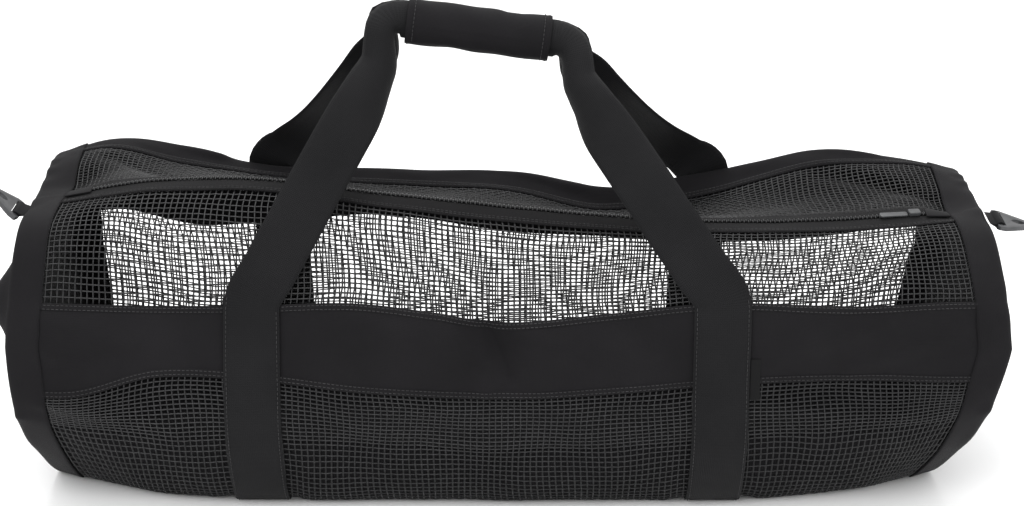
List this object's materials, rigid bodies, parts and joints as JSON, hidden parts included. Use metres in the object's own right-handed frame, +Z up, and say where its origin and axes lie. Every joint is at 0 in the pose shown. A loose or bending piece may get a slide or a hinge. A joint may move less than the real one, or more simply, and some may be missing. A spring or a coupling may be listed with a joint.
{
  "type": "mesh duffel bag",
  "caption": "Long mesh duffel bag for wet dive gear, empty and slumped, with cloth bands, a zip along the top, webbing handles joined by a wrap, and a ring at each end.",
  "frame": {"origin": "middle of the bag on the surface that it stands on", "axes": "+X along the bag towards its right end as seen from the front, -Y out of its front, +Z up"},
  "size_m": [0.9496, 0.3103, 0.4487],
  "materials": {
    "net": "coarse square net, coated, slightly glossy",
    "cloth": "woven black polyester, matte",
    "zip": "woven tape with a nylon coil",
    "webbing": "flat woven webbing, matte",
    "plastic": "moulded dark grey plastic",
    "label": "woven label, bare"
  },
  "bodies": {
    "bag": {"front_upper_mesh": "net", "back_upper_mesh": "net", "lower_mesh": "net", "front_band": "cloth", "back_band": "cloth", "base_panel": "cloth", "end_trim_left": "cloth", "end_trim_right": "cloth", "end_panel_left": "cloth", "end_panel_right": "cloth", "zip_tab_left": "cloth", "zip_tab_right": "cloth", "grip_wrap": "cloth", "zip_tape_front": "zip", "zip_tape_back": "zip", "zip_coil": "zip", "carry_strap_front": "webbing", "carry_strap_back": "webbing", "end_loop_left": "webbing", "end_loop_right": "webbing", "zip_slider": "plastic", "zip_pull": "plastic", "side_label": "label"},
    "ring_left": {"end_ring_left": "plastic"},
    "ring_right": {"end_ring_right": "plastic"}
  },
  "joints": [
    {"name": "ring_left_hinge", "type": "hinge", "parent": "bag", "child": "ring_left", "pos_m": [-0.44589, -0.0537, 0.26511], "axis": [-0.0066, -0.9985, -0.0549], "range_deg": [-40, 135]},
    {"name": "ring_right_hinge", "type": "hinge", "parent": "bag", "child": "ring_right", "pos_m": [0.4455, -0.05319, 0.25559], "axis": [0.0156, -0.9911, -0.1325], "range_deg": [-84, 95]}
  ]
}
